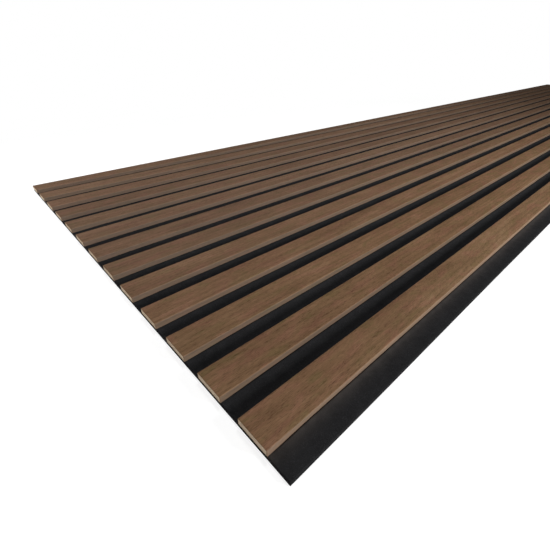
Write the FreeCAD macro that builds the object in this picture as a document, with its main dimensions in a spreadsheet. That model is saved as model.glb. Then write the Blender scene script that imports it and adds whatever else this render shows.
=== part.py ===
# Acoustic slat wall panel: wood-veneered slats in a row on a black felt backing.
# The panel lies on its back: +X along the slats, +Y across them, +Z out of the face.
# The origin is the middle of the backing's rear face. All sizes are in millimetres.

import FreeCAD, Part
import Sketcher
import math
import os

# Driving dimensions

SIZES = {
    "panel_length": 2800.0,
    "slat_count": 13,
    "slat_width": 27.2,
    "slat_height": 5.5,
    "slat_gap": 19.05,
    "edge_strip": 17.8,
    "felt_thickness": 3.5,
    "veneer_thickness": 0.6,
    "core_edge_radius": 0.4,
    "staple_crown": 12.8,
    "staple_leg": 6.0,
    "wire_width": 0.95,
    "wire_thickness": 0.65,
    "staple_rows": 6,
    "staple_end_distance": 70.0,
}

# Sizes worked out from the driving dimensions

SLAT_PITCH = "(Sizes.slat_width + Sizes.slat_gap)"
PANEL_WIDTH = f"(Sizes.edge_strip + Sizes.slat_width + (Sizes.slat_count - 1) * {SLAT_PITCH})"
CORE_WIDTH = "(Sizes.slat_width - 2 * Sizes.veneer_thickness)"
CORE_HEIGHT = "(Sizes.slat_height - Sizes.veneer_thickness)"
VENEER_EDGE_RADIUS = "(Sizes.core_edge_radius + Sizes.veneer_thickness)"
FIRST_SLAT_FROM_EDGE = "(Sizes.edge_strip + Sizes.slat_width / 2)"
FIRST_SLAT_LINE = f"({FIRST_SLAT_FROM_EDGE} - {PANEL_WIDTH} / 2)"
STAPLE_ROW_SPAN = "(Sizes.panel_length - 2 * Sizes.staple_end_distance)"
STAPLE_SLAT_SPAN = f"((Sizes.slat_count - 1) * {SLAT_PITCH})"

# How a sketch names its own origin

ORIGIN_POINT = (-1, 1)

document = FreeCAD.newDocument("SlatWallPanel")
sheet = document.addObject("Spreadsheet::Sheet", "Sizes")
for row, (alias, size) in enumerate(SIZES.items(), start=1):
    sheet.set(f"A{row}", alias)
    sheet.set(f"B{row}", str(size))
    sheet.setAlias(f"B{row}", alias)
document.recompute()


# Helpers for sketches and features

def number(expression):
    """The present value of an expression of the sheet's cells."""
    return float(sheet.evalExpression(expression))


def origin_feature(body, role):
    """One of a body's own origin planes or axes."""
    return next(feature for feature in body.Origin.OriginFeatures if feature.Role == role)


def new_body(label, along, across, up):
    """A body whose place is bound to three expressions."""
    body = document.addObject("PartDesign::Body", label)
    body.Label = label
    body.setExpression("Placement.Base.x", along)
    body.setExpression("Placement.Base.y", across)
    body.setExpression("Placement.Base.z", up)
    return body


def new_sketch(body, plane_role, name):
    """An empty sketch on one of the body's origin planes."""
    sketch = body.newObject("Sketcher::SketchObject", name)
    sketch.AttachmentSupport = [(origin_feature(body, plane_role), "")]
    sketch.MapMode = "FlatFace"
    return sketch


def set_size(sketch, name, kind, ends, expression):
    """A named sketch dimension bound to an expression."""
    index = sketch.addConstraint(Sketcher.Constraint(kind, *ends, number(expression)))
    sketch.renameConstraint(index, name)
    sketch.setExpression(f"Constraints.{name}", expression)


def start_on_axis(sketch, line, upright):
    """Hold a line's start on the sketch's own upright or level axis."""
    axis = -2 if upright else -1
    sketch.addConstraint(Sketcher.Constraint("PointOnObject", line, 1, axis))


def closed_outline(sketch, points):
    """Straight level and upright lines through the points, joined end to end."""
    corners = [FreeCAD.Vector(across, up, 0) for across, up in points]
    count = len(corners)
    for index in range(count):
        sketch.addGeometry(Part.LineSegment(corners[index], corners[(index + 1) % count]))
    for index in range(count):
        sketch.addConstraint(Sketcher.Constraint("Coincident", index, 2, (index + 1) % count, 1))
        level = corners[index].y == corners[(index + 1) % count].y
        sketch.addConstraint(Sketcher.Constraint("Horizontal" if level else "Vertical", index))


def new_pad(body, name, sketch, length):
    """A pad of the sketch along its normal."""
    pad = body.newObject("PartDesign::Pad", name)
    pad.Profile = sketch
    pad.setExpression("Length", length)
    return pad


def new_pattern(body, name, feature, span, occurrences):
    """Copies of a feature in a row along the slats."""
    pattern = body.newObject("PartDesign::LinearPattern", name)
    pattern.Originals = [feature]
    pattern.Direction = (origin_feature(body, "X_Axis"), [""])
    pattern.setExpression("Length", span)
    pattern.setExpression("Occurrences", occurrences)
    body.Tip = pattern
    return pattern


def spread_over_slats(body, pattern):
    """Repeat a pattern's row on the centre line of each slat."""
    pattern.Direction2 = (origin_feature(body, "Y_Axis"), [""])
    pattern.setExpression("Length2", STAPLE_SLAT_SPAN)
    pattern.setExpression("Occurrences2", "Sizes.slat_count")


# Sections shared by several pieces

def bar_section(sketch, width, height, radius):
    """A slat's cross-section on its foot, with its two upper corners rounded."""
    half = number(width) / 2
    top = number(height)
    bend = number(radius)
    shoulder = top - bend
    quarter_turn = math.pi / 2
    upward = FreeCAD.Vector(0, 0, 1)
    left_foot = FreeCAD.Vector(-half, 0, 0)
    right_foot = FreeCAD.Vector(half, 0, 0)
    left_centre = FreeCAD.Vector(bend - half, shoulder, 0)
    right_centre = FreeCAD.Vector(half - bend, shoulder, 0)
    left_face_end = FreeCAD.Vector(bend - half, top, 0)
    right_face_end = FreeCAD.Vector(half - bend, top, 0)
    sketch.addGeometry(Part.LineSegment(left_foot, right_foot))
    sketch.addGeometry(Part.LineSegment(right_foot, FreeCAD.Vector(half, shoulder, 0)))
    sketch.addGeometry(Part.ArcOfCircle(Part.Circle(right_centre, upward, bend), 0, quarter_turn))
    sketch.addGeometry(Part.LineSegment(right_face_end, left_face_end))
    sketch.addGeometry(Part.ArcOfCircle(Part.Circle(left_centre, upward, bend), quarter_turn, math.pi))
    sketch.addGeometry(Part.LineSegment(FreeCAD.Vector(-half, shoulder, 0), left_foot))
    foot, right_side, right_bend, face, left_bend, left_side = range(6)
    sketch.addConstraint(Sketcher.Constraint("Coincident", foot, 2, right_side, 1))
    sketch.addConstraint(Sketcher.Constraint("Coincident", left_side, 2, foot, 1))
    sketch.addConstraint(Sketcher.Constraint("Tangent", right_side, 2, right_bend, 1))
    sketch.addConstraint(Sketcher.Constraint("Tangent", right_bend, 2, face, 1))
    sketch.addConstraint(Sketcher.Constraint("Tangent", face, 2, left_bend, 1))
    sketch.addConstraint(Sketcher.Constraint("Tangent", left_bend, 2, left_side, 1))
    sketch.addConstraint(Sketcher.Constraint("Equal", right_bend, left_bend))
    sketch.addConstraint(Sketcher.Constraint("Horizontal", face))
    sketch.addConstraint(Sketcher.Constraint("Vertical", right_side))
    sketch.addConstraint(Sketcher.Constraint("Vertical", left_side))
    sketch.addConstraint(Sketcher.Constraint("Symmetric", foot, 1, foot, 2, *ORIGIN_POINT))
    set_size(sketch, "width", "DistanceX", (foot, 1, foot, 2), width)
    set_size(sketch, "height", "DistanceY", (foot, 2, face, 1), height)
    set_size(sketch, "edge_radius", "Radius", (right_bend,), radius)


def staple_section(sketch, crown_level):
    """One staple seen from its side: a level crown with a leg up at each end."""
    first = number("Sizes.staple_end_distance")
    reach = number("Sizes.staple_crown") / 2
    wire = number("Sizes.wire_thickness")
    low = number(crown_level)
    tip = low + number("Sizes.staple_leg")
    closed_outline(sketch, [
        (first - reach, low),
        (first + reach, low),
        (first + reach, tip),
        (first + reach - wire, tip),
        (first + reach - wire, low + wire),
        (first - reach + wire, low + wire),
        (first - reach + wire, tip),
        (first - reach, tip),
    ])
    crown, outer_right, tip_right, inner_right = range(4)
    tip_left, outer_left = range(6, 8)
    wire_size = "Sizes.wire_thickness"
    crown_start = "(Sizes.staple_end_distance - Sizes.staple_crown / 2)"
    set_size(sketch, "crown", "DistanceX", (crown, 1, crown, 2), "Sizes.staple_crown")
    set_size(sketch, "right_leg", "DistanceY", (outer_right, 1, outer_right, 2), "Sizes.staple_leg")
    set_size(sketch, "left_leg", "DistanceY", (outer_left, 2, outer_left, 1), "Sizes.staple_leg")
    set_size(sketch, "right_wire", "DistanceX", (tip_right, 2, tip_right, 1), wire_size)
    set_size(sketch, "left_wire", "DistanceX", (tip_left, 2, tip_left, 1), wire_size)
    set_size(sketch, "crown_wire", "DistanceY", (outer_right, 1, inner_right, 2), wire_size)
    set_size(sketch, "start", "DistanceX", (*ORIGIN_POINT, crown, 1), crown_start)
    if low == 0:
        start_on_axis(sketch, crown, upright=False)
    else:
        set_size(sketch, "depth", "DistanceY", (crown, 1, *ORIGIN_POINT), f"-1 * {crown_level}")


def staple_holes(body, crown_level):
    """Cut the seats of one row of staples, with the staples' own section."""
    sketch = new_sketch(body, "XZ_Plane", "StapleHoleSection")
    staple_section(sketch, crown_level)
    pocket = body.newObject("PartDesign::Pocket", "StapleHole")
    pocket.Profile = sketch
    pocket.SideType = "Symmetric"
    pocket.setExpression("Length", "Sizes.wire_width")
    return new_pattern(body, "StapleHoles", pocket, STAPLE_ROW_SPAN, "Sizes.staple_rows")


# The pieces

def make_felt_backing():
    """The black felt sheet that carries the slats, with a bare strip along one long edge."""
    body = new_body("felt_backing", "-Sizes.panel_length / 2", FIRST_SLAT_LINE, "0")
    sketch = new_sketch(body, "XY_Plane", "FeltOutline")
    strip_edge = -number(FIRST_SLAT_FROM_EDGE)
    slat_edge = strip_edge + number(PANEL_WIDTH)
    length = number("Sizes.panel_length")
    closed_outline(sketch, [(0, strip_edge), (length, strip_edge), (length, slat_edge), (0, slat_edge)])
    strip_side, right_end = range(2)
    start_on_axis(sketch, strip_side, upright=True)
    set_size(sketch, "length", "DistanceX", (strip_side, 1, strip_side, 2), "Sizes.panel_length")
    set_size(sketch, "width", "DistanceY", (right_end, 1, right_end, 2), PANEL_WIDTH)
    set_size(sketch, "first_slat", "DistanceY", (strip_side, 1, *ORIGIN_POINT), FIRST_SLAT_FROM_EDGE)
    new_pad(body, "FeltSheet", sketch, "Sizes.felt_thickness")
    spread_over_slats(body, staple_holes(body, "0"))
    return body


def slat_line(index):
    """Where slat number index lies across the panel."""
    return f"{FIRST_SLAT_LINE} + {index - 1} * {SLAT_PITCH}"


def make_slat_core(index):
    """The fibreboard bar inside one slat, glued and stapled to the felt."""
    label = f"slat_core_{index:02d}"
    body = new_body(label, "-Sizes.panel_length / 2", slat_line(index), "Sizes.felt_thickness")
    sketch = new_sketch(body, "YZ_Plane", "CoreSection")
    bar_section(sketch, CORE_WIDTH, CORE_HEIGHT, "Sizes.core_edge_radius")
    new_pad(body, "CoreBar", sketch, "Sizes.panel_length")
    staple_holes(body, "(-1 * Sizes.felt_thickness)")
    return body


def make_slat_veneer(index):
    """The wood veneer folded over one slat's face and both of its long sides."""
    label = f"slat_veneer_{index:02d}"
    body = new_body(label, "-Sizes.panel_length / 2", slat_line(index), "Sizes.felt_thickness")
    outside = new_sketch(body, "YZ_Plane", "VeneerOutside")
    bar_section(outside, "Sizes.slat_width", "Sizes.slat_height", VENEER_EDGE_RADIUS)
    new_pad(body, "VeneerBlock", outside, "Sizes.panel_length")
    inside = new_sketch(body, "YZ_Plane", "VeneerInside")
    bar_section(inside, CORE_WIDTH, CORE_HEIGHT, "Sizes.core_edge_radius")
    pocket = body.newObject("PartDesign::Pocket", "VeneerFold")
    pocket.Profile = inside
    pocket.Reversed = True
    pocket.setExpression("Length", "Sizes.panel_length")
    return body


def make_back_staples():
    """The wire staples driven through the felt from behind, a row of them into each slat."""
    body = new_body("back_staples", "-Sizes.panel_length / 2", FIRST_SLAT_LINE, "0")
    body.AllowCompound = True
    sketch = new_sketch(body, "XZ_Plane", "StapleSection")
    staple_section(sketch, "0")
    pad = new_pad(body, "Staple", sketch, "Sizes.wire_width")
    pad.SideType = "Symmetric"
    pattern = new_pattern(body, "StapleRows", pad, STAPLE_ROW_SPAN, "Sizes.staple_rows")
    spread_over_slats(body, pattern)
    return body


slat_numbers = range(1, int(number("Sizes.slat_count")) + 1)
pieces = [make_felt_backing()]
pieces += [make_slat_core(index) for index in slat_numbers]
pieces += [make_slat_veneer(index) for index in slat_numbers]
pieces.append(make_back_staples())
document.recompute()

# Checks before anything is written

for item in document.Objects:
    if "Invalid" in item.State or "Error" in item.State:
        raise RuntimeError(f"{item.Label} failed: {item.State}")
    if item.TypeId == "PartDesign::Pocket" and item.Shape.Volume >= item.BaseFeature.Shape.Volume:
        raise RuntimeError(f"{item.Label} cuts nothing")
for piece in pieces:
    if piece.Shape.isNull() or not piece.Shape.isValid():
        raise RuntimeError(f"{piece.Label} has no valid shape")

os.makedirs("parts", exist_ok=True)
for piece in pieces:
    piece.Shape.exportStep(f"parts/{piece.Label}.step")
    print(piece.Label, len(piece.Shape.Solids), "solids", round(piece.Shape.Volume, 1), "mm3")
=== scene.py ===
import math

import bpy
from mathutils import Matrix, Vector, noise


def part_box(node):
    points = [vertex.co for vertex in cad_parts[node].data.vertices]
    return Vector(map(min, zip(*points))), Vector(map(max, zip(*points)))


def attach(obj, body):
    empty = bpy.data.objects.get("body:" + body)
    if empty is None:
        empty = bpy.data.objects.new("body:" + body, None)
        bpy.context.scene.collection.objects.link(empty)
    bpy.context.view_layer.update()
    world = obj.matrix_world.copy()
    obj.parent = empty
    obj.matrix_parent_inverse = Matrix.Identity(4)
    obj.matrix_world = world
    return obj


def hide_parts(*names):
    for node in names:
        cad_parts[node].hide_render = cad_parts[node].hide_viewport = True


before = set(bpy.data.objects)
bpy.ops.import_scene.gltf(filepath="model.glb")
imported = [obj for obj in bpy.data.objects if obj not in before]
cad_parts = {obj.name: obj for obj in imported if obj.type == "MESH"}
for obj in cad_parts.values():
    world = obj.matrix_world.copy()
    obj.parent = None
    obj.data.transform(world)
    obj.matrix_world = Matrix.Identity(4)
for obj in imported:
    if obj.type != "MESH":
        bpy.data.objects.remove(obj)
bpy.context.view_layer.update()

MM = 0.001

# The panel's sizes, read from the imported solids.
VENEERS = sorted(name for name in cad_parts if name.startswith("slat_veneer_"))
CORES = sorted(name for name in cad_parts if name.startswith("slat_core_"))
FELT_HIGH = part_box("felt_backing")[1]
SLAT_LOW, SLAT_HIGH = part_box(VENEERS[0])
NEXT_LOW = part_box(VENEERS[1])[0]
STAPLES_LOW, STAPLES_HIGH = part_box("back_staples")
SLAT_COUNT = len(VENEERS)
PITCH = NEXT_LOW.y - SLAT_LOW.y
FIRST_MIDDLE = (SLAT_LOW.y + SLAT_HIGH.y) / 2
SLAT_MIDDLES = [FIRST_MIDDLE + PITCH * slat for slat in range(SLAT_COUNT)]
SLAT_HALF = (SLAT_HIGH.y - SLAT_LOW.y) / 2
FACE = SLAT_HIGH.z
FELT_TOP = FELT_HIGH.z
HALF_LENGTH = FELT_HIGH.x
HALF_WIDTH = FELT_HIGH.y

# The staples, as the panel's source has them.
STAPLE_ROWS = 6
CROWN_LENGTH = 12.8 * MM
WIRE_WIDTH = 0.95 * MM
WIRE_THICKNESS = 0.65 * MM
FIRST_STAPLE = STAPLES_LOW.x + CROWN_LENGTH / 2
STAPLE_SPAN = STAPLES_HIGH.x - STAPLES_LOW.x - CROWN_LENGTH
STAPLE_MIDDLES = [FIRST_STAPLE + row * STAPLE_SPAN / (STAPLE_ROWS - 1) for row in range(STAPLE_ROWS)]

# The camera, fitted to the photograph's slat edges.
CAMERA_PLACE = Vector((-1.46023, -0.36024, 0.19177))
CAMERA_YAW = math.radians(42.5922)
CAMERA_PITCH = math.radians(33.9842)
CAMERA_ROLL = math.radians(0.1109)
CAMERA_LENS = 21.962
CAMERA_SHIFT = -0.01415

# The veneer: its rings, and how far its corners' painted highlight, its sides and its ends reach.
RING_SPACING = 3.6 * MM
CORNER_HIGHLIGHT_REACH = 1.1 * MM
CORNER_HIGHLIGHT_FULL = 0.3 * MM
SIDE_STARTS = 0.5 * MM
SIDE_FULL = 0.05 * MM
END_STARTS = 1.2 * MM
END_FULL = 0.1 * MM

# The felt's surface: its nap, brushed up against each slat, and the painted light on the bare strip beside a
# slat.
NAP_REACH = 7.0 * MM
NAP_RISE = 1.3 * MM
BOUNCE_LIGHT_REACH = 14.0 * MM

# The felt's shape: its rounded and uneven cut edges, and its flare at the bare strip's left corner.
FELT_ROUNDING = 0.55 * MM
BACK_ROUNDING_SHARE = 0.2
EDGE_REACH = 1.6 * MM
EDGE_WAVE = 0.06 * MM
EDGE_FUZZ = 0.04 * MM
CORNER_FLARE = 0.9 * MM
FLARE_LENGTH = 340.0 * MM
FLARE_STARTS = 5.0 * MM
FLARE_FULL = 16.0 * MM

# The felt's shape where the slats and the staples hold it.
GROOVE_SWELL = 0.08 * MM
SWELL_REACH = 3.0 * MM
CLIMB_REACH = 4.5 * MM
CLIMB_RISE = 36.0 * MM
GROOVE_CLIMB = 0.5 * MM
STRIP_CLIMB = 1.1 * MM
BESIDE_SLAT = 0.12 * MM
PRESS_REACH = 1.7 * MM
BESIDE_WIRE = 0.15 * MM
PAST_WIRE = 0.7 * MM

# The felt sheet's widest spaces between lines.
STEP_ALONG = 36.0 * MM
STEP_ACROSS = 7.0 * MM

WHITE = (1.0, 1.0, 1.0, 1.0)
BLACK = (0.0, 0.0, 0.0, 1.0)


def tone(red, green, blue):
    """A colour from its 0 to 255 sRGB values, as the linear values that the nodes take."""
    straight = []
    for part in (red, green, blue):
        part = part / 255
        straight.append(part / 12.92 if part <= 0.04045 else ((part + 0.055) / 1.055) ** 2.4)
    return (*straight, 1.0)


class Finish:
    """A material's node tree, with short calls for the nodes that the finishes below share."""

    def __init__(self, name):
        self.material = bpy.data.materials.new(name)
        self.material.use_nodes = True
        self.tree = self.material.node_tree
        self.tree.nodes.clear()
        self.out = self.tree.nodes.new("ShaderNodeOutputMaterial")
        self.place = self.tree.nodes.new("ShaderNodeTexCoord").outputs["Object"]

    def feed(self, socket, value):
        if isinstance(value, bpy.types.NodeSocket):
            self.tree.links.new(value, socket)
        else:
            socket.default_value = value

    def node(self, kind, inputs=(), **settings):
        made = self.tree.nodes.new("ShaderNode" + kind)
        for name, value in settings.items():
            setattr(made, name, value)
        for name, value in dict(inputs).items():
            self.feed(made.inputs[name], value)
        return made

    def math(self, operation, *values, clamp=False):
        made = self.tree.nodes.new("ShaderNodeMath")
        made.operation = operation
        made.use_clamp = clamp
        for socket, value in zip(made.inputs, values):
            self.feed(socket, value)
        return made.outputs[0]

    def distance(self, across, up):
        """How long a way is, from its two legs."""
        squares = [self.math("POWER", leg, 2.0) for leg in (across, up)]
        return self.math("SQRT", self.math("ADD", *squares))

    def vector(self, operation, *values):
        made = self.tree.nodes.new("ShaderNodeVectorMath")
        made.operation = operation
        for socket, value in zip(made.inputs, values):
            self.feed(socket, value)
        return made.outputs["Vector"]

    def split(self, vector):
        return self.node("SeparateXYZ", {"Vector": vector}).outputs

    def join(self, x, y, z):
        return self.node("CombineXYZ", {"X": x, "Y": y, "Z": z}).outputs[0]

    def noise(self, vector, per_metre, offset=None, detail=2.0, roughness=0.5, warp=0.0):
        """Noise from 0 to 1, with its grains per metre along X, Y and Z."""
        scaled = self.vector("MULTIPLY", vector, per_metre)
        if offset is not None:
            scaled = self.vector("ADD", scaled, offset)
        made = self.node("TexNoise", {"Vector": scaled, "Scale": 1.0, "Detail": detail,
                                      "Roughness": roughness, "Distortion": warp})
        return made.outputs[0]

    def fade(self, value, start, end, low=0.0, high=1.0):
        """Runs smoothly from low to high as the value goes from start to end."""
        made = self.node("MapRange", {"Value": value, "From Min": start, "From Max": end,
                                      "To Min": low, "To Max": high}, interpolation_type="SMOOTHSTEP")
        return made.outputs["Result"]

    def nearness(self, away, reach):
        """1 at the spot, falling evenly to 0 at the reach."""
        return self.math("SUBTRACT", 1.0, self.math("DIVIDE", away, reach), clamp=True)

    def blend(self, share, first, second):
        made = self.node("Mix", data_type="RGBA")
        self.feed(made.inputs[0], share)
        self.feed(made.inputs[6], first)
        self.feed(made.inputs[7], second)
        return made.outputs[2]

    def ramp(self, value, stops):
        made = self.node("ValToRGB", {"Fac": value})
        elements = made.color_ramp.elements
        while len(elements) < len(stops):
            elements.new(0.5)
        for element, (position, colour) in zip(elements, stops):
            element.position = position
            element.color = colour
        return made.outputs["Color"]

    def bump(self, height, strength=1.0):
        """A bump from a height in metres."""
        return self.node("Bump", {"Height": height, "Strength": strength, "Distance": 1.0}).outputs[0]

    def surface(self, **inputs):
        """The finish's Principled shader, its inputs named with _ for each space."""
        named = {name.replace("_", " "): value for name, value in inputs.items()}
        shader = self.node("BsdfPrincipled", named)
        self.tree.links.new(shader.outputs[0], self.out.inputs["Surface"])
        return self.material


def slat_place(f):
    """The nearest slat's number, the way along it, the way across it from its middle, and the height."""
    along, across, height = f.split(f.place)
    from_first = f.math("SUBTRACT", across, FIRST_MIDDLE)
    number = f.math("MAXIMUM", f.math("ROUND", f.math("DIVIDE", from_first, PITCH)), 0.0)
    within = f.math("SUBTRACT", from_first, f.math("MULTIPLY", number, PITCH))
    return number, along, within, height


class Slat:
    """The place within a slat, with what differs from slat to slat: three chances and its noises' shift."""

    def __init__(self, finish, seed, shift):
        self.finish = finish
        self.number, self.along, self.within, self.height = slat_place(finish)
        self.place = finish.join(self.along, self.within, self.height)
        numbered = finish.math("ADD", self.number, seed)
        chance = finish.node("TexWhiteNoise", {"W": numbered}, noise_dimensions="1D").outputs["Color"]
        self.chances = finish.split(chance)
        self.shift = finish.vector("MULTIPLY", chance, shift)

    def noise(self, per_metre, further=None, **settings):
        """A noise in the slat's own place. Going further keeps two noises of one slat from looking alike."""
        shift = self.shift
        if further is not None:
            shift = self.finish.vector("ADD", shift, further)
        return self.finish.noise(self.place, per_metre, shift, **settings)


def late_wood(f, slat):
    """The dark part of each ring, where the slat's face cuts a trunk whose heart sways below it."""
    first, second, _ = slat.chances
    sway = slat.noise((0.9, 0.0, 0.0), detail=1.0)
    rise = slat.noise((0.7, 0.0, 0.0), (9.0, 4.0, 2.0), detail=1.0)
    heart = f.math("ADD", f.math("MULTIPLY_ADD", first, 80 * MM, -40 * MM),
                   f.math("MULTIPLY_ADD", sway, 50 * MM, -25 * MM))
    depth = f.math("ADD", f.math("MULTIPLY_ADD", second, 30 * MM, 4 * MM),
                   f.math("MULTIPLY_ADD", rise, 50 * MM, -20 * MM))
    sideways = f.math("SUBTRACT", slat.within, heart)
    inward = f.math("ADD", f.math("SUBTRACT", slat.height, FACE), depth)
    wobble = slat.noise((6.0, 70.0, 70.0), detail=3.0)
    rings = f.math("MULTIPLY_ADD", f.distance(sideways, inward), 1 / RING_SPACING,
                   f.math("MULTIPLY", wobble, 1.3))
    ring = f.math("MULTIPLY_ADD", f.math("SINE", f.math("MULTIPLY", rings, 2 * math.pi)), 0.5, 0.5)
    return f.math("POWER", ring, 2.5)


def veneer_finish():
    """Walnut-brown veneer: cut rings, long streaks, fibres and pores, with a painted highlight along the top
    corners.
    """
    f = Finish("walnut_veneer")
    slat = Slat(f, 3.7, (61.0, 47.0, 53.0))
    dark_rings = late_wood(f, slat)
    streak = slat.noise((5.0, 420.0, 420.0), detail=4.0, roughness=0.6)
    dash = slat.noise((170.0, 1400.0, 1400.0), detail=2.0, roughness=0.6)
    fibre = slat.noise((90.0, 2300.0, 2300.0), detail=3.0, roughness=0.6)
    fleck = slat.noise((85.0, 290.0, 290.0), (6.0, 1.0, 9.0), detail=2.0, roughness=0.6)
    cloud = slat.noise((2.2, 24.0, 24.0), detail=2.0)
    patch = slat.noise((17.0, 75.0, 75.0), (2.0, 9.0, 6.0), detail=3.0, warp=0.4)
    drift = slat.noise((1.3, 18.0, 18.0), (5.0, 7.0, 3.0), detail=2.0)
    tint = slat.noise((40.0, 130.0, 130.0), (8.0, 3.0, 5.0), detail=2.0, warp=0.4)
    pore_field = slat.noise((260.0, 3600.0, 3600.0), detail=1.0)
    pores = f.fade(f.math("MULTIPLY_ADD", dark_rings, 0.06, pore_field), 0.6, 0.7)
    whole_slat = slat.chances[2]

    value = 0.5
    for pattern, weight in ((dark_rings, -0.09), (streak, 0.12), (dash, 0.66), (fibre, 0.28), (cloud, 0.5),
                            (patch, 0.66), (fleck, 0.24), (tint, 0.24), (whole_slat, 0.1)):
        value = f.math("ADD", value, f.math("MULTIPLY", f.math("SUBTRACT", pattern, 0.5), weight))
    batch = f.math("SINE", f.math("MULTIPLY_ADD", slat.number, 1.66, 2.37))
    value = f.math("MULTIPLY_ADD", batch, 0.08, value)
    base = f.ramp(value, ((0.1, tone(66, 49, 35)), (0.4, tone(101, 77, 57)),
                          (0.62, tone(118, 92, 69)), (0.95, tone(148, 120, 94))))
    hue = f.blend(f.fade(drift, 0.35, 0.68), tone(111, 83, 62), tone(106, 86, 63))
    hue = f.blend(f.fade(tint, 0.5, 0.66), hue, tone(116, 80, 66))
    hue = f.blend(f.fade(tint, 0.46, 0.3), hue, tone(101, 88, 58))
    base = f.blend(0.4, base, hue)
    # Painted sheen: the farther slats blended towards a greyer, cooler tone.
    base = f.blend(f.fade(slat.number, 1.0, 7.0, 0.0, 0.3), base, tone(99, 83, 78))
    base = f.blend(f.math("MULTIPLY", pores, 0.5), base, tone(46, 32, 24))

    edge_mottle = slat.noise((38.0, 300.0, 300.0), detail=3.0)
    # Painted highlight along the top corners, and the sides' tone with painted shade and painted light.
    base = painted_light_on_veneer(f, slat, base, edge_mottle)
    base, cut = cut_veneer(f, slat, base, edge_mottle)

    rough = f.math("ADD", f.math("MULTIPLY_ADD", fibre, 0.16, 0.52), f.math("MULTIPLY", pores, 0.15))
    rough = f.math("ADD", rough, f.math("MULTIPLY", cut, 0.25), clamp=True)
    relief = f.math("ADD", f.math("MULTIPLY", fibre, 0.03 * MM), f.math("MULTIPLY", pores, -0.05 * MM))
    relief = f.math("ADD", relief, f.math("MULTIPLY", streak, 0.04 * MM))
    return f.surface(Base_Color=base, Roughness=rough, Specular_IOR_Level=0.0, Normal=f.bump(relief, 0.8))


def painted_light_on_veneer(f, slat, base, edge_mottle):
    """The veneer's colour with a painted highlight along its top corners, greyer sides partly darkened as
    painted shade, and painted light making the first slat's sides the palest.
    """
    out_of_corner = f.math("SUBTRACT", SLAT_HALF, f.math("ABSOLUTE", slat.within))
    from_corner = f.distance(out_of_corner, f.math("SUBTRACT", FACE, slat.height))
    # Painted highlight: a paler line along each slat's rounded top corners, patchy along the slat.
    painted_highlight = f.math("MULTIPLY", f.fade(from_corner, CORNER_HIGHLIGHT_REACH, CORNER_HIGHLIGHT_FULL),
                  f.fade(edge_mottle, 0.3, 0.62, 0.35, 1.0))
    base = f.blend(f.math("MULTIPLY", painted_highlight, 0.16), base, tone(160, 134, 110))
    on_side = f.fade(out_of_corner, SIDE_STARTS, SIDE_FULL)
    # Painted light: the first slat's sides, with no slat in front to shade them, painted palest.
    on_first = f.fade(slat.number, 0.9, 0.1, 0.0, 0.35)
    # The sides greyer and darker than the top: partly the veneer's greyer edge tone, partly painted shade.
    base = f.blend(f.math("MULTIPLY", on_side, 0.55), base, tone(98, 88, 79))
    return f.blend(f.math("MULTIPLY", on_side, on_first), base, tone(142, 119, 101))


def cut_veneer(f, slat, base, edge_mottle):
    """The veneer's colour with its cut ends, a little darker beside them, and where it is cut."""
    facing = f.split(f.node("NewGeometry").outputs["Normal"])[0]
    cut = f.fade(f.math("ABSOLUTE", facing), 0.6, 0.8)
    end_grain = f.noise(slat.place, (3000.0, 5200.0, 5200.0), detail=2.0)
    base = f.blend(cut, base, f.blend(end_grain, tone(104, 82, 62), tone(150, 128, 104)))
    from_end = f.math("SUBTRACT", HALF_LENGTH, f.math("ABSOLUTE", slat.along))
    near_end = f.fade(from_end, END_STARTS, END_FULL)
    base = f.blend(f.math("MULTIPLY", near_end, f.math("MULTIPLY", edge_mottle, 0.3)), base, tone(84, 64, 48))
    return base, cut


def core_finish():
    """Cut beige fibreboard: pressed fibres, darker and denser near its faces, with faint saw marks."""
    f = Finish("fibreboard")
    slat = Slat(f, 8.3, (31.0, 27.0, 43.0))
    grains = slat.noise((1500.0, 1500.0, 2600.0), detail=5.0, roughness=0.65)
    clumps = slat.noise((260.0, 260.0, 700.0), detail=3.0)
    fleck_field = slat.noise((900.0, 900.0, 2600.0), (3.0, 8.0, 1.0), detail=1.0)
    dark_fleck = f.fade(fleck_field, 0.64, 0.72)
    pale_fleck = f.fade(fleck_field, 0.34, 0.27)
    from_middle = f.math("ABSOLUTE", f.math("SUBTRACT", slat.height, (FACE + FELT_TOP) / 2))
    dense = f.fade(from_middle, 1.2 * MM, 2.4 * MM)
    value = f.math("MULTIPLY_ADD", grains, 0.8, f.math("MULTIPLY_ADD", clumps, 0.5, -0.15))
    value = f.math("ADD", value, f.math("MULTIPLY_ADD", slat.chances[2], 0.14, -0.07))
    base = f.ramp(value, ((0.2, tone(150, 130, 107)), (0.5, tone(180, 161, 138)),
                          (0.8, tone(208, 190, 166))))
    base = f.blend(f.math("MULTIPLY", dense, 0.35), base, tone(152, 129, 103))
    base = f.blend(f.math("MULTIPLY", dark_fleck, 0.6), base, tone(98, 74, 54))
    base = f.blend(f.math("MULTIPLY", pale_fleck, 0.4), base, tone(205, 190, 168))
    saw = slat.noise((1.0, 2300.0, 160.0), detail=2.0)
    relief = f.math("ADD", f.math("MULTIPLY", grains, 0.12 * MM), f.math("MULTIPLY", saw, 0.06 * MM))
    rough = f.math("MULTIPLY_ADD", grains, 0.12, 0.8)
    return f.surface(Base_Color=base, Roughness=rough, Specular_IOR_Level=0.05, Normal=f.bump(relief, 0.7))


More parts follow.
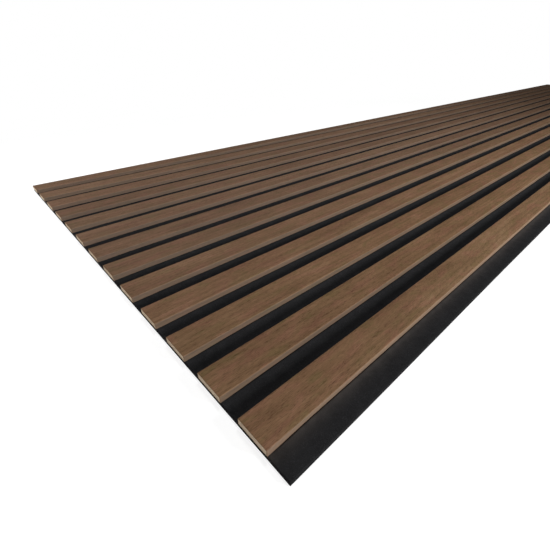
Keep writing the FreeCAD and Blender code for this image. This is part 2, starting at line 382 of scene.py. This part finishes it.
def felt_finish():
    """Black needled felt: a mat of curling fibres, some paler, its nap brushed up against the slats."""
    f = Finish("black_felt")
    fibres = 0.0
    relief = 0.0
    for size, turn, share in ((520.0, 0.0, 1.0), (780.0, 31.0, 0.8), (1150.0, 67.0, 0.6)):
        field = f.noise(f.place, (size, size * 0.8, size), (turn, turn * 0.7, turn * 0.3), warp=1.4)
        ridge = f.math("ABSOLUTE", f.math("SUBTRACT", field, 0.5))
        hair = f.fade(ridge, 0.035, 0.0)
        fibres = f.math("ADD", fibres, f.math("MULTIPLY", hair, share))
        relief = f.math("ADD", relief, f.math("MULTIPLY", hair, share * 0.07 * MM))
    mat = f.noise(f.place, (140.0, 140.0, 140.0), detail=3.0)
    patch = f.noise(f.place, (9.0, 14.0, 9.0), detail=2.0)
    value = f.math("MULTIPLY_ADD", mat, 0.2, f.math("MULTIPLY", patch, 0.12))
    value = f.math("MULTIPLY_ADD", fibres, 0.16, value)
    base = f.ramp(value, ((0.1, tone(29, 29, 30)), (0.3, tone(39, 39, 40)), (0.7, tone(62, 62, 64))))

    _, _, within, _ = slat_place(f)
    from_slat = f.math("SUBTRACT", f.math("ABSOLUTE", within), SLAT_HALF)
    nap = f.math("MULTIPLY", f.math("POWER", f.nearness(from_slat, NAP_REACH), 2.0), NAP_RISE)
    relief = f.math("ADD", f.math("ADD", relief, f.math("MULTIPLY", mat, 0.12 * MM)), nap)
    # Painted light: the bare strip paler towards the first slat's foot, standing in for light thrown off the
    # slat's side.
    on_strip = f.math("LESS_THAN", f.split(f.place)[1], SLAT_LOW.y)
    painted_bounce_light = f.math("MULTIPLY", f.math("POWER", f.nearness(from_slat, BOUNCE_LIGHT_REACH), 2.0), on_strip)
    painted_bounce_light = f.math("MULTIPLY", painted_bounce_light, f.fade(mat, 0.3, 0.7, 0.3, 0.46))
    base = f.blend(painted_bounce_light, base, tone(76, 69, 64))
    rough = f.math("MULTIPLY_ADD", mat, 0.1, 0.86)
    return f.surface(Base_Color=base, Roughness=rough, Specular_IOR_Level=0.0, Normal=f.bump(relief, 0.9))


def wire_finish():
    """Galvanised staple wire: drawn lines along the wire, dull zinc patches and small rub marks."""
    f = Finish("galvanised_wire")
    drawn = f.noise(f.place, (90.0, 9000.0, 9000.0), detail=3.0)
    zinc = f.noise(f.place, (700.0, 700.0, 700.0), detail=3.0)
    base = f.ramp(zinc, ((0.3, tone(138, 139, 141)), (0.7, tone(186, 187, 190))))
    base = f.blend(f.fade(drawn, 0.6, 0.75), base, tone(112, 112, 114))
    rough = f.math("MULTIPLY_ADD", zinc, 0.28, f.math("MULTIPLY_ADD", drawn, 0.12, 0.2))
    relief = f.math("MULTIPLY", drawn, 0.02 * MM)
    return f.surface(Base_Color=base, Metallic=1.0, Roughness=rough, Normal=f.bump(relief, 0.6))


def between(value, low, high, start, end):
    return start + (end - start) * (value - low) / (high - low)


def unwrap(mesh, spread):
    """Adds the OFBake UV layer, each face's corners put where spread says."""
    layer = mesh.uv_layers.new(name="OFBake")
    for face in mesh.polygons:
        for corner in face.loop_indices:
            layer.data[corner].uv = spread(face, mesh.vertices[mesh.loops[corner].vertex_index].co)


def lengthways(spot, start, end):
    """A UV value that runs from start to end along the panel."""
    return between(spot.x, -HALF_LENGTH, HALF_LENGTH, start, end)


def widthways(spot, start, end):
    """A UV value that runs from start to end across the panel."""
    return between(spot.y, -HALF_WIDTH, HALF_WIDTH, start, end)


def slat_spread(middle, outside, ends):
    """How a slat's piece is laid out: its outside along U, what is hidden above it, and then its ends."""
    reach = SLAT_HALF + FACE - FELT_TOP

    def spread(face, spot):
        within, side = spot.y - middle, face.center.y - middle
        if abs(face.normal.x) > 0.7 and HALF_LENGTH - abs(face.center.x) < 0.1 * MM:
            start = 0.02 if face.normal.x < 0 else 0.52
            u = between(within, -SLAT_HALF, SLAT_HALF, start, start + 0.46)
            return u, between(spot.z, FELT_TOP, FACE, *ends)
        u = lengthways(spot, 0.01, 0.99)
        if face.center.z < FELT_TOP + 0.01 * MM:
            return u, between(within, -SLAT_HALF, SLAT_HALF, outside + 0.08, outside + 0.12)
        around = within + math.copysign(FACE - spot.z, side)
        outward = face.normal.z > 0.01 or (face.normal.z > -0.01 and face.normal.y * side > 0)
        seated = abs(side) < SLAT_HALF / 2 and face.center.z < FACE - 1 * MM
        if outward and not seated:
            return u, between(around, -reach, reach, 0.01, outside)
        return u, between(around, -reach, reach, outside + 0.01, outside + 0.07)

    return spread


def sheet_spread(cells):
    """How the felt sheet is laid out: its top in two bays, its back in one, and its cut edges in a strip."""
    past_middle = 50 * MM

    def spread(face, spot):
        on_a_side = face.index < cells * 2
        if on_a_side and face.index % 2 == 0:
            if face.center.x < 0:
                return between(spot.x, -HALF_LENGTH, past_middle, 0.01, 0.99), widthways(spot, 0.01, 0.36)
            return between(spot.x, -past_middle, HALF_LENGTH, 0.01, 0.99), widthways(spot, 0.37, 0.72)
        if on_a_side:
            return lengthways(spot, 0.01, 0.99), widthways(spot, 0.73, 0.94)
        v = between(spot.z, 0.0, FELT_TOP, 0.955, 0.99)
        if HALF_LENGTH - abs(face.center.x) < HALF_WIDTH - abs(face.center.y):
            start = 0.82 if face.center.x < 0 else 0.91
            return widthways(spot, start, start + 0.08), v
        start = 0.01 if face.center.y < 0 else 0.42
        return lengthways(spot, start, start + 0.38), v

    return spread


def grid_lines(low, high, step, centres, offsets):
    """Lines from low to high no further than step apart, with finer ones round each centre."""
    marks = {low, high}
    for centre in centres:
        marks.update(centre + offset for offset in offsets if low < centre + offset < high)
    marks = sorted(marks)
    lines = []
    for start, end in zip(marks, marks[1:]):
        parts = max(1, math.ceil((end - start) / step))
        lines += [start + (end - start) * part / parts for part in range(parts)]
    return lines + [high]


def both_ways(*offsets):
    return [sign * offset for offset in offsets for sign in (1, -1)]


def smooth(value, start, end):
    share = min(max((value - start) / (end - start), 0.0), 1.0)
    return share * share * (3 - 2 * share)


def nearest(middles, place):
    return min(middles, key=lambda middle: abs(middle - place))


def pressed_in(x, y):
    """How deep the staples press the felt's back at a place."""
    past_end = max(abs(x - nearest(STAPLE_MIDDLES, x)) - CROWN_LENGTH / 2, 0.0)
    past_side = max(abs(y - nearest(SLAT_MIDDLES, y)) - WIRE_WIDTH / 2, 0.0)
    return WIRE_THICKNESS * (1 - smooth(math.hypot(past_end, past_side), BESIDE_WIRE, PRESS_REACH))


def swelling(x, y):
    """How far the felt stands up between the slats, where none holds it down, and climbs the slats' feet."""
    from_slat = abs(y - nearest(SLAT_MIDDLES, y)) - SLAT_HALF
    clear = smooth(from_slat, 0.0, SWELL_REACH)
    broad = noise.noise(Vector((x * 9, y * 60, 0.3)))
    fine = noise.noise(Vector((x * 31, y * 140, 7.1)))
    climb = STRIP_CLIMB if y < SLAT_MIDDLES[0] else GROOVE_CLIMB
    climb *= smooth(from_slat, 0.02 * MM, 0.1 * MM) * (1 - smooth(from_slat, 0.0, CLIMB_REACH))
    climb *= smooth(HALF_LENGTH - abs(x), 0.0, CLIMB_RISE)
    return clear * GROOVE_SWELL * (0.9 + (broad * 0.6 + fine * 0.3)) + climb


def rounded(away):
    """How far the cut edge's rounding takes the surface down at a distance in from the edge."""
    if away >= FELT_ROUNDING:
        return 0.0
    return FELT_ROUNDING - math.sqrt(FELT_ROUNDING ** 2 - (FELT_ROUNDING - away) ** 2)


def uneven(along, side):
    """The small waves of a cut edge."""
    return noise.noise(Vector((along * 55, side * 3.7, 1.9))) * EDGE_WAVE


def placed(x, y):
    """The place, with the cut edge's small waves and the bare strip's slight flare at its left corner."""
    near_end = 1 - smooth(HALF_LENGTH - abs(x), 0.0, EDGE_REACH)
    near_side = 1 - smooth(HALF_WIDTH - abs(y), 0.0, EDGE_REACH)
    end = math.copysign(1.0, x)
    side = math.copysign(1.0, y)
    flare = CORNER_FLARE * (1 - smooth(HALF_LENGTH + x, 0.0, FLARE_LENGTH))
    flare *= smooth(SLAT_LOW.y - y, FLARE_STARTS, FLARE_FULL)
    return (x + end * near_end * (uneven(y, end) - EDGE_WAVE),
            y + side * near_side * (uneven(x, side * 2) - EDGE_WAVE) - flare)


def felt_lines():
    """The sheet's lines across and along, finer at its cut edges, at the slats' feet and at the staples."""
    edge_steps = (0.12 * MM, 0.3 * MM, FELT_ROUNDING, EDGE_REACH)
    end_steps = (*edge_steps, CLIMB_RISE / 4, CLIMB_RISE / 2, CLIMB_RISE)
    crown = CROWN_LENGTH / 2
    xs = grid_lines(-HALF_LENGTH, HALF_LENGTH, STEP_ALONG, STAPLE_MIDDLES,
                    [0.0, *both_ways(crown - 1 * MM, crown + BESIDE_WIRE, crown + PAST_WIRE,
                                     crown + PRESS_REACH)])
    xs = sorted(set(xs) | {side * (HALF_LENGTH - step) for step in end_steps for side in (1, -1)})
    wire = WIRE_WIDTH / 2
    ys = grid_lines(-HALF_WIDTH, HALF_WIDTH, STEP_ACROSS, SLAT_MIDDLES,
                    both_ways(wire + BESIDE_WIRE, wire + PAST_WIRE, wire + PRESS_REACH,
                              SLAT_HALF, SLAT_HALF + BESIDE_SLAT, SLAT_HALF + SWELL_REACH / 2,
                              SLAT_HALF + SWELL_REACH, SLAT_HALF + CLIMB_REACH))
    ys = sorted(set(ys) | {side * (HALF_WIDTH - step) for step in edge_steps for side in (1, -1)})
    return xs, ys


def felt_sides(xs, ys):
    """The vertices of the sheet's top and then of its back, and their faces, top and back ones in turn."""
    top, back = [], []
    for x in xs:
        for y in ys:
            down = rounded(min(HALF_LENGTH - abs(x), HALF_WIDTH - abs(y)))
            top.append((*placed(x, y), FELT_TOP - down + swelling(x, y)))
            back.append((*placed(x, y), down * BACK_ROUNDING_SHARE + pressed_in(x, y)))
    columns, rows, under = len(xs), len(ys), len(top)
    faces = []
    for i in range(columns - 1):
        for j in range(rows - 1):
            a, b, c, d = i * rows + j, (i + 1) * rows + j, (i + 1) * rows + j + 1, i * rows + j + 1
            faces.append((a, b, c, d))
            faces.append((under + d, under + c, under + b, under + a))
    return top + back, faces


def felt_edges(vertices, faces, columns, rows):
    """Adds the sheet's cut edges all round, bulged and fuzzy, from the top's rim down to the back's."""
    under = columns * rows
    rim = [i * rows for i in range(columns)]
    rim += [(columns - 1) * rows + j for j in range(1, rows)]
    rim += [i * rows + rows - 1 for i in range(columns - 2, -1, -1)]
    rim += [j for j in range(rows - 2, 0, -1)]
    levels = [rim]
    for share, out in ((0.3, 0.05 * MM), (0.55, 0.1 * MM), (0.8, 0.06 * MM)):
        ring = []
        for top in rim:
            high, low = Vector(vertices[top]), Vector(vertices[under + top])
            spot = high.lerp(low, share)
            rough = noise.noise(Vector((spot.x * 300, spot.y * 300, spot.z * 900))) * EDGE_FUZZ
            if abs(high.x) > HALF_LENGTH - 0.5 * MM:
                spot.x += math.copysign(out + rough, high.x)
            if abs(high.y) > HALF_WIDTH - 0.5 * MM:
                spot.y += math.copysign(out + rough, high.y)
            ring.append(len(vertices))
            vertices.append(tuple(spot))
        levels.append(ring)
    levels.append([under + top for top in rim])
    count = len(rim)
    for upper, lower in zip(levels, levels[1:]):
        for step in range(count):
            following = (step + 1) % count
            faces.append((upper[step], lower[step], lower[following], upper[following]))


def felt_sheet(material):
    """The felt as a soft sheet: uneven cut edges, swollen in the grooves, pressed in at each staple."""
    xs, ys = felt_lines()
    vertices, faces = felt_sides(xs, ys)
    felt_edges(vertices, faces, len(xs), len(ys))
    mesh = bpy.data.meshes.new("felt_sheet")
    mesh.from_pydata(vertices, [], faces)
    mesh.validate()
    for polygon in mesh.polygons:
        polygon.use_smooth = True
    mesh.update()
    mesh.materials.append(material)
    unwrap(mesh, sheet_spread((len(xs) - 1) * (len(ys) - 1)))
    sheet = bpy.data.objects.new("felt_sheet", mesh)
    bpy.context.scene.collection.objects.link(sheet)
    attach(sheet, "root")
    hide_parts("felt_backing")


def dress(names, material):
    for name in names:
        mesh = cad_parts[name].data
        mesh.materials.clear()
        mesh.materials.append(material)


def seen_directly(tree):
    """1 for the rays that see the background: from the camera, or by way of gloss or glass."""
    path = tree.nodes.new("ShaderNodeLightPath")
    total = path.outputs["Is Camera Ray"]
    for kind in ("Is Glossy Ray", "Is Transmission Ray"):
        either = tree.nodes.new("ShaderNodeMath")
        either.operation = "MAXIMUM"
        tree.links.new(total, either.inputs[0])
        tree.links.new(path.outputs[kind], either.inputs[1])
        total = either.outputs[0]
    return total


def make_world(ambient):
    world = bpy.data.worlds.new("studio")
    bpy.context.scene.world = world
    world.use_nodes = True
    tree = world.node_tree
    tree.nodes.clear()
    out = tree.nodes.new("ShaderNodeOutputWorld")
    mixed = tree.nodes.new("ShaderNodeMixShader")
    tree.links.new(seen_directly(tree), mixed.inputs[0])
    for socket, strength in ((mixed.inputs[1], ambient), (mixed.inputs[2], 1.0)):
        background = tree.nodes.new("ShaderNodeBackground")
        background.inputs["Color"].default_value = WHITE
        background.inputs["Strength"].default_value = strength
        tree.links.new(background.outputs[0], socket)
    tree.links.new(mixed.outputs[0], out.inputs["Surface"])


def make_floor():
    """A pale floor, whiter away from the panel and from the lamps, that keeps the panel's shadow."""
    reach = 60.0
    corners = [(-reach, -reach, 0), (reach, -reach, 0), (reach, reach, 0), (-reach, reach, 0)]
    mesh = bpy.data.meshes.new("floor")
    mesh.from_pydata(corners, [], [(0, 1, 2, 3)])
    floor = bpy.data.objects.new("floor", mesh)
    floor.location.z = -0.1 * MM
    bpy.context.scene.collection.objects.link(floor)
    f = Finish("pale_floor")
    x, y, _ = f.split(f.place)
    past_end = f.math("MAXIMUM", f.math("SUBTRACT", f.math("ABSOLUTE", x), HALF_LENGTH), 0.0)
    past_side = f.math("MAXIMUM", f.math("SUBTRACT", f.math("ABSOLUTE", y), HALF_WIDTH), 0.0)
    near = f.math("MULTIPLY", f.fade(f.distance(past_end, past_side), 0.45, 0.04), f.fade(x, 0.5, -0.6))
    matt = f.node("BsdfDiffuse", {"Color": (0.8, 0.8, 0.8, 1.0)})
    pale = f.node("BsdfDiffuse", {"Color": f.blend(near, BLACK, (0.34, 0.34, 0.34, 1.0))})
    glow = f.node("Emission", {"Color": WHITE, "Strength": f.math("MULTIPLY_ADD", near, -0.2, 1.0)})
    both = f.node("AddShader")
    f.tree.links.new(pale.outputs[0], both.inputs[0])
    f.tree.links.new(glow.outputs[0], both.inputs[1])
    mixed = f.node("MixShader")
    f.tree.links.new(seen_directly(f.tree), mixed.inputs[0])
    f.tree.links.new(matt.outputs[0], mixed.inputs[1])
    f.tree.links.new(both.outputs[0], mixed.inputs[2])
    f.tree.links.new(mixed.outputs[0], f.out.inputs["Surface"])
    mesh.materials.append(f.material)


def soft_lamp(name, place, target, width, height, power):
    """An area lamp at a place, turned towards a target."""
    data = bpy.data.lights.new(name, "AREA")
    data.shape = "RECTANGLE"
    data.size = width
    data.size_y = height
    data.energy = power
    lamp = bpy.data.objects.new(name, data)
    lamp.location = place
    lamp.rotation_euler = (Vector(target) - Vector(place)).to_track_quat("-Z", "Y").to_euler()
    lamp.visible_camera = False
    bpy.context.scene.collection.objects.link(lamp)


def make_lamps():
    """Three lamps round the panel's left half, and two weak ones for its far side and its right end."""
    soft_lamp("front", (-0.56, -1.54, 0.6), (-1.24, -0.5, 0.0), width=0.4, height=0.25, power=39.0)
    soft_lamp("left", (-1.8, 0.41, 0.32), (-1.4, 0.0, 0.0), width=1.0, height=0.6, power=5.2)
    soft_lamp("overhead", (-0.76, 0.11, 1.81), (0.46, -0.5, 0.0), width=0.5, height=0.3, power=16.2)
    soft_lamp("back", (1.9, 1.8, 0.2), (0.8, 0.3, 0.0), width=0.8, height=0.3, power=5.0)
    soft_lamp("right", (1.75, -0.55, 0.26), (1.2, -0.1, 0.0), width=0.5, height=0.2, power=3.4)


def make_camera():
    level = Vector((math.sin(CAMERA_YAW), math.cos(CAMERA_YAW), 0))
    side = Vector((math.cos(CAMERA_YAW), -math.sin(CAMERA_YAW), 0))
    upright = Vector((0, 0, 1))
    forward = level * math.cos(CAMERA_PITCH) - upright * math.sin(CAMERA_PITCH)
    above = upright * math.cos(CAMERA_PITCH) + level * math.sin(CAMERA_PITCH)
    right = side * math.cos(CAMERA_ROLL) + above * math.sin(CAMERA_ROLL)
    up = above * math.cos(CAMERA_ROLL) - side * math.sin(CAMERA_ROLL)
    data = bpy.data.cameras.new("camera")
    data.lens = CAMERA_LENS
    data.sensor_width = 36
    data.shift_x = CAMERA_SHIFT
    data.clip_start = 0.01
    data.clip_end = 200
    camera = bpy.data.objects.new("camera", data)
    turn = Matrix((right, up, -forward)).transposed().to_4x4()
    camera.matrix_world = Matrix.Translation(CAMERA_PLACE) @ turn
    bpy.context.scene.collection.objects.link(camera)
    bpy.context.scene.camera = camera


def main():
    dress(VENEERS, veneer_finish())
    dress(CORES, core_finish())
    dress(["back_staples"], wire_finish())
    for middle, veneer, core in zip(SLAT_MIDDLES, VENEERS, CORES):
        unwrap(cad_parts[veneer].data, slat_spread(middle, outside=0.74, ends=(0.9, 0.98)))
        unwrap(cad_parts[core].data, slat_spread(middle, outside=0.22, ends=(0.4, 0.98)))
    felt_sheet(felt_finish())
    make_camera()
    make_world(ambient=0.03)
    make_floor()
    make_lamps()
    bpy.context.scene.view_settings.view_transform = "Standard"


main()
